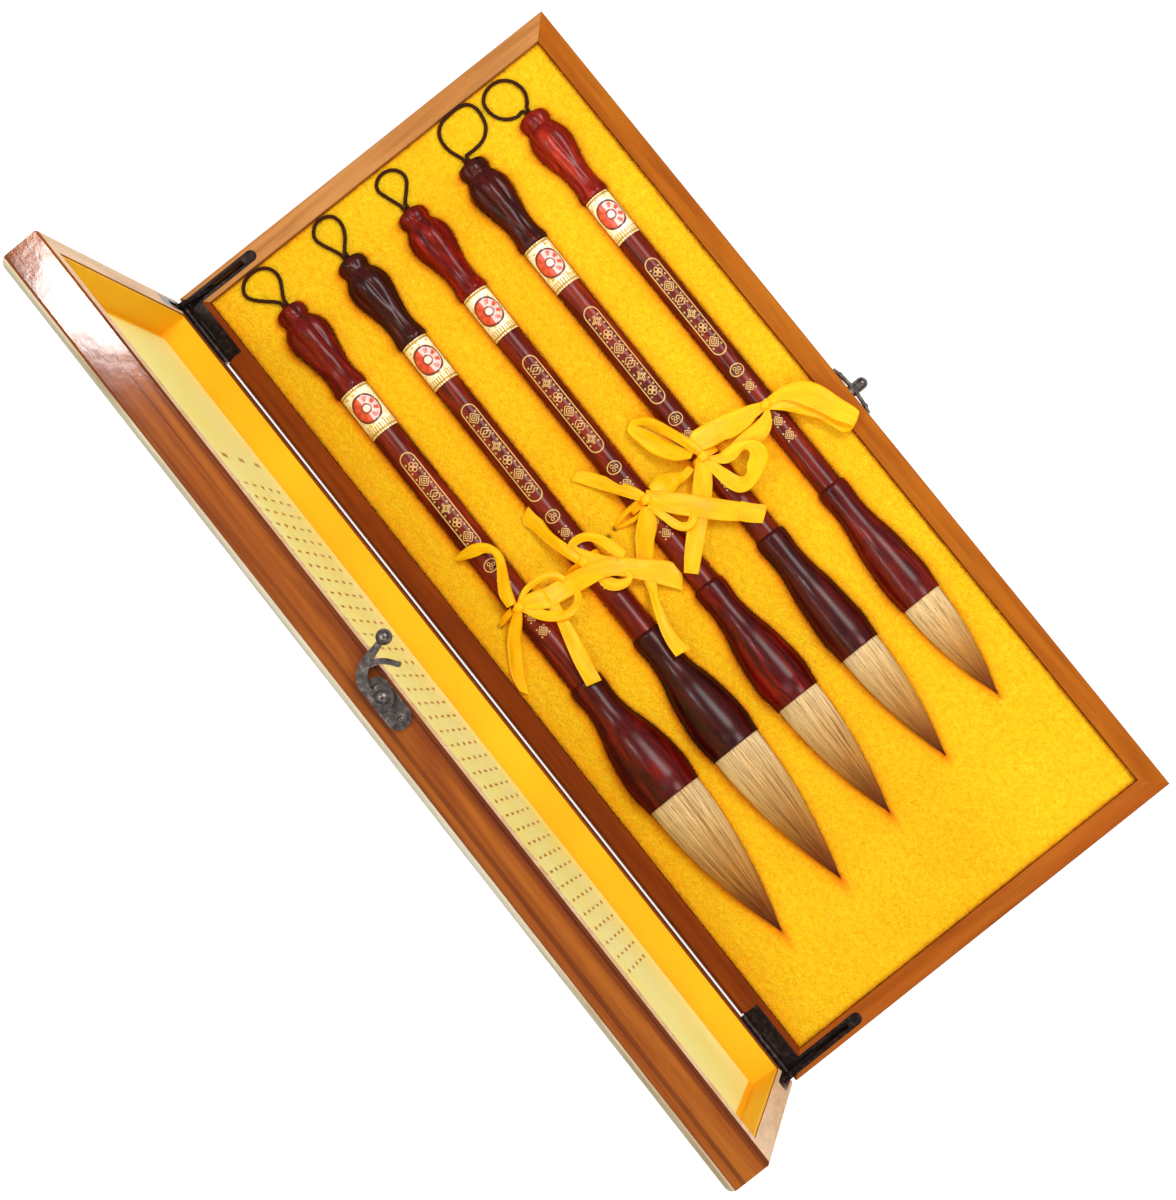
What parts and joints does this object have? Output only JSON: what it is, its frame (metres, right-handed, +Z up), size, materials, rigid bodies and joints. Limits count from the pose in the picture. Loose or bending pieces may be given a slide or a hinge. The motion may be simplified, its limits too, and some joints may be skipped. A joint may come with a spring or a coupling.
{
  "type": "calligraphy set box",
  "caption": "Shallow hinged wooden case with a plush bed holding calligraphy brushes with hanging cords, each tied down by a satin ribbon, a lined lid and a hook latch.",
  "frame": {"origin": "centre of the base's bottom face", "axes": "+Z up, -Y towards the front with the latch, +X towards the finial ends of the brushes"},
  "size_m": [0.4, 0.2276, 0.2336],
  "materials": {
    "box_wood": "satin",
    "dark_metal": "satin",
    "plush": "matt",
    "foam": "matt",
    "lining_cloth": "satin",
    "satin": "satin",
    "red_wood": "gloss",
    "purple_wood": "gloss",
    "shaft_wood": "satin",
    "hair": "matt",
    "cord": "matt"
  },
  "bodies": {
    "base": {"base_front_wall": "box_wood", "base_back_wall": "box_wood", "base_left_wall": "box_wood", "base_right_wall": "box_wood", "base_bottom": "box_wood", "foam_insert": "foam", "plush_cover": "plush", "hinge_base_leaf_left": "dark_metal", "hinge_base_leaf_right": "dark_metal", "hinge_pin_left": "dark_metal", "hinge_pin_right": "dark_metal", "hinge_screws_base": "dark_metal", "catch_plate": "dark_metal", "catch_stud": "dark_metal", "catch_nails": "dark_metal", "ribbon_1": "satin", "ribbon_2": "satin", "ribbon_3": "satin", "ribbon_4": "satin", "ribbon_5": "satin"},
    "lid": {"lid_front_wall": "box_wood", "lid_back_wall": "box_wood", "lid_left_wall": "box_wood", "lid_right_wall": "box_wood", "lid_top": "box_wood", "lid_lining": "lining_cloth", "hinge_lid_leaf_left": "dark_metal", "hinge_lid_leaf_right": "dark_metal", "hinge_screws_lid": "dark_metal", "latch_backplate": "dark_metal", "latch_rivet": "dark_metal", "latch_nails": "dark_metal"},
    "hook": {"latch_hook": "dark_metal"},
    "stay_left": {"stay_arm_left": "dark_metal"},
    "stay_right": {"stay_arm_right": "dark_metal"},
    "brush_1": {"brush_1_finial": "red_wood", "brush_1_shaft": "shaft_wood", "brush_1_ferrule": "red_wood", "brush_1_hair": "hair", "brush_1_cord": "cord"},
    "brush_2": {"brush_2_finial": "purple_wood", "brush_2_shaft": "shaft_wood", "brush_2_ferrule": "purple_wood", "brush_2_hair": "hair", "brush_2_cord": "cord"},
    "brush_3": {"brush_3_finial": "red_wood", "brush_3_shaft": "shaft_wood", "brush_3_ferrule": "red_wood", "brush_3_hair": "hair", "brush_3_cord": "cord"},
    "brush_4": {"brush_4_finial": "purple_wood", "brush_4_shaft": "shaft_wood", "brush_4_ferrule": "purple_wood", "brush_4_hair": "hair", "brush_4_cord": "cord"},
    "brush_5": {"brush_5_finial": "red_wood", "brush_5_shaft": "shaft_wood", "brush_5_ferrule": "red_wood", "brush_5_hair": "hair", "brush_5_cord": "cord"}
  },
  "joints": [
    {"name": "lid_hinge", "type": "hinge", "parent": "base", "child": "lid", "pos_m": [0, 0.095, 0.0382], "axis": [-1, 0, 0], "range_deg": [-94, 0]},
    {"name": "latch_swing", "type": "hinge", "parent": "lid", "child": "hook", "pos_m": [0, 0.11402, 0.22984], "axis": [0, 0.0698, 0.9976], "range_deg": [-60, 30]},
    {"name": "stay_left_swing", "type": "hinge", "parent": "lid", "child": "stay_left", "pos_m": [-0.1955, 0.09732, 0.04706], "axis": [-1, 0, 0], "range_deg": [0, 117]},
    {"name": "stay_right_swing", "type": "hinge", "parent": "lid", "child": "stay_right", "pos_m": [0.1955, 0.09732, 0.04706], "axis": [-1, 0, 0], "range_deg": [0, 117]},
    {"name": "brush_1_lift", "type": "slide", "parent": "base", "child": "brush_1", "axis": [0, 0, 1], "range_m": [0, 0.06], "deforming": ["ribbon_1"]},
    {"name": "brush_2_lift", "type": "slide", "parent": "base", "child": "brush_2", "axis": [0, 0, 1], "range_m": [0, 0.06], "deforming": ["ribbon_2"]},
    {"name": "brush_3_lift", "type": "slide", "parent": "base", "child": "brush_3", "axis": [0, 0, 1], "range_m": [0, 0.06], "deforming": ["ribbon_3"]},
    {"name": "brush_4_lift", "type": "slide", "parent": "base", "child": "brush_4", "axis": [0, 0, 1], "range_m": [0, 0.06], "deforming": ["ribbon_4"]},
    {"name": "brush_5_lift", "type": "slide", "parent": "base", "child": "brush_5", "axis": [0, 0, 1], "range_m": [0, 0.06], "deforming": ["ribbon_5"]}
  ],
  "couplings": [
    {"joint": "stay_left_swing", "follows": "lid_hinge", "ratio": -1.2393},
    {"joint": "stay_right_swing", "follows": "lid_hinge", "ratio": -1.2393}
  ]
}
